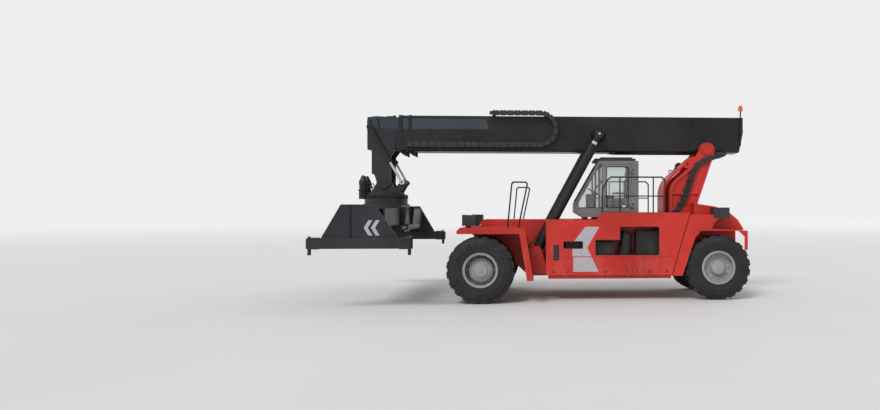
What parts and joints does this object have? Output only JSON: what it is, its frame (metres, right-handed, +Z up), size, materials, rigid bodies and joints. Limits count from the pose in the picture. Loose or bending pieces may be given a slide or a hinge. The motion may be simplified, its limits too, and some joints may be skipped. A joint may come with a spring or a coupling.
{
  "type": "reach stacker",
  "caption": "Wheeled container handler with a telescopic boom on a rear tower, lift cylinders, central cab and a slewing, extending top-lift spreader.",
  "frame": {"origin": "middle of the parked machine's outer box, on the ground", "axes": "+X forward along the boom, +Y to the machine's left, +Z up"},
  "size_m": [10.8048, 6.09, 5.122],
  "materials": {
    "red_paint": "satin",
    "boom_paint": "satin",
    "nose_paint": "satin",
    "dark_paint": "satin",
    "cab_paint": "satin",
    "roof_paint": "satin",
    "rim_paint": "satin",
    "chrome_rod": "polished",
    "tyre": "matte",
    "bare_steel": "machined",
    "black_plastic": "matte",
    "hose_rubber": "matte",
    "amber": "clear lens",
    "clear_glass": "clear",
    "seat_fabric": "woven"
  },
  "bodies": {
    "chassis": {"frame": "red_paint", "front_fenders": "red_paint", "side_boxes": "red_paint", "tanks": "dark_paint", "deck_rails": "dark_paint", "engine": "dark_paint", "tower": "red_paint", "counterweight": "red_paint", "rear_fenders": "red_paint", "lamps": "black_plastic", "drive_axle": "dark_paint", "steer_axle": "dark_paint", "tower_hoses": "hose_rubber", "cab_shell": "cab_paint", "cab_roof": "roof_paint", "cab_glass": "clear_glass", "cab_seat": "seat_fabric", "cab_console": "black_plastic"},
    "door": {"cab_door": "cab_paint", "door_glass": "clear_glass"},
    "boom": {"outer_boom": "boom_paint", "energy_chain": "black_plastic", "beacon_mast": "dark_paint", "beacon_lamp": "amber"},
    "boom_inner": {"inner_boom": "nose_paint"},
    "lift_barrels": {"lift_barrels": "boom_paint"},
    "lift_rods": {"lift_rods": "chrome_rod"},
    "damping_barrels": {"damping_barrels": "boom_paint"},
    "damping_rods": {"damping_rods": "chrome_rod"},
    "yoke": {"yoke": "nose_paint", "slew_drive": "dark_paint"},
    "rotator": {"spreader_head": "nose_paint"},
    "spreader": {"spreader_frame": "nose_paint"},
    "arm_left": {"arm_left": "nose_paint"},
    "arm_right": {"arm_right": "nose_paint"},
    "drive_wheel_left": {"drive_tyres_left": "tyre", "drive_rims_left": "rim_paint"},
    "drive_wheel_right": {"drive_tyres_right": "tyre", "drive_rims_right": "rim_paint"},
    "knuckle_left": {"knuckle_left": "dark_paint"},
    "knuckle_right": {"knuckle_right": "dark_paint"},
    "steer_wheel_left": {"steer_tyre_left": "tyre", "steer_rim_left": "rim_paint"},
    "steer_wheel_right": {"steer_tyre_right": "tyre", "steer_rim_right": "rim_paint"},
    "steer_rod": {"steer_rod": "chrome_rod"}
  },
  "joints": [
    {"name": "boom_lift", "type": "hinge", "parent": "chassis", "child": "boom", "pos_m": [-4.3725, 0, 3.9], "axis": [0, -1, 0], "range_deg": [0, 60]},
    {"name": "telescope", "type": "slide", "parent": "boom", "child": "boom_inner", "axis": [-1, 0, 0], "range_m": [-6.9, 0]},
    {"name": "spreader_level", "type": "hinge", "parent": "boom_inner", "child": "yoke", "pos_m": [4.1975, 0, 3.07], "axis": [0, 1, 0], "range_deg": [0, 60]},
    {"name": "slew", "type": "hinge", "parent": "yoke", "child": "rotator", "pos_m": [4.1975, 0, 2.5], "axis": [0, 0, 1], "range_deg": [-95, 185]},
    {"name": "side_shift", "type": "slide", "parent": "rotator", "child": "spreader", "axis": [0, 1, 0], "range_m": [-0.8, 0.8]},
    {"name": "extend_left", "type": "slide", "parent": "spreader", "child": "arm_left", "axis": [0, 1, 0], "range_m": [0, 3.067]},
    {"name": "extend_right", "type": "slide", "parent": "spreader", "child": "arm_right", "axis": [0, -1, 0], "range_m": [0, 3.067]},
    {"name": "lift_barrel_pivot", "type": "hinge", "parent": "chassis", "child": "lift_barrels", "pos_m": [0.1875, 0, 1.2], "axis": [0, -1, 0], "range_deg": [-1, 6]},
    {"name": "lift_rod_slide", "type": "slide", "parent": "lift_barrels", "child": "lift_rods", "axis": [-0.4733, 0, 0.8809], "range_m": [0, 2.95]},
    {"name": "damping_barrel_pivot", "type": "hinge", "parent": "boom_inner", "child": "damping_barrels", "pos_m": [4.5375, 0, 4.48], "axis": [0, -1, 0], "range_deg": [-4, 1]},
    {"name": "damping_rod_slide", "type": "slide", "parent": "damping_barrels", "child": "damping_rods", "axis": [-0.4968, 0, -0.8679], "range_m": [-0.52, 0]},
    {"name": "drive_left_spin", "type": "hinge", "parent": "chassis", "child": "drive_wheel_left", "pos_m": [1.5275, 1.535, 0.825], "axis": [0, 1, 0], "continuous": true},
    {"name": "drive_right_spin", "type": "hinge", "parent": "chassis", "child": "drive_wheel_right", "pos_m": [1.5275, -1.535, 0.825], "axis": [0, 1, 0], "continuous": true},
    {"name": "steer_left", "type": "hinge", "parent": "chassis", "child": "knuckle_left", "pos_m": [-4.4725, 0.92, 0.825], "axis": [0, 0, 1], "range_deg": [-50, 50]},
    {"name": "steer_right", "type": "hinge", "parent": "chassis", "child": "knuckle_right", "pos_m": [-4.4725, -0.92, 0.825], "axis": [0, 0, 1], "range_deg": [-50, 50]},
    {"name": "steer_rod_slide", "type": "slide", "parent": "chassis", "child": "steer_rod", "axis": [0, 1, 0], "range_m": [-0.2, 0.2]},
    {"name": "steer_left_spin", "type": "hinge", "parent": "knuckle_left", "child": "steer_wheel_left", "pos_m": [-4.4725, 1.24, 0.825], "axis": [0, 1, 0], "continuous": true},
    {"name": "steer_right_spin", "type": "hinge", "parent": "knuckle_right", "child": "steer_wheel_right", "pos_m": [-4.4725, -1.24, 0.825], "axis": [0, 1, 0], "continuous": true},
    {"name": "cab_door_hinge", "type": "hinge", "parent": "chassis", "child": "door", "pos_m": [-2.3325, 0.626, 2.9], "axis": [0, 0, 1], "range_deg": [0, 85]}
  ],
  "couplings": [
    {"joint": "spreader_level", "follows": "boom_lift", "ratio": 1},
    {"joint": "lift_barrel_pivot", "follows": "boom_lift", "ratio": 0.07134},
    {"joint": "lift_rod_slide", "follows": "boom_lift", "m_per_rad": 2.7737},
    {"joint": "damping_barrel_pivot", "follows": "boom_lift", "ratio": -0.03087},
    {"joint": "damping_rod_slide", "follows": "boom_lift", "m_per_rad": -0.46746},
    {"joint": "slew", "follows": "telescope", "rad_per_m": -0.46795},
    {"joint": "extend_right", "follows": "extend_left", "ratio": 1},
    {"joint": "steer_right", "follows": "steer_left", "ratio": 1},
    {"joint": "steer_rod_slide", "follows": "steer_left", "m_per_rad": -0.21946}
  ]
}
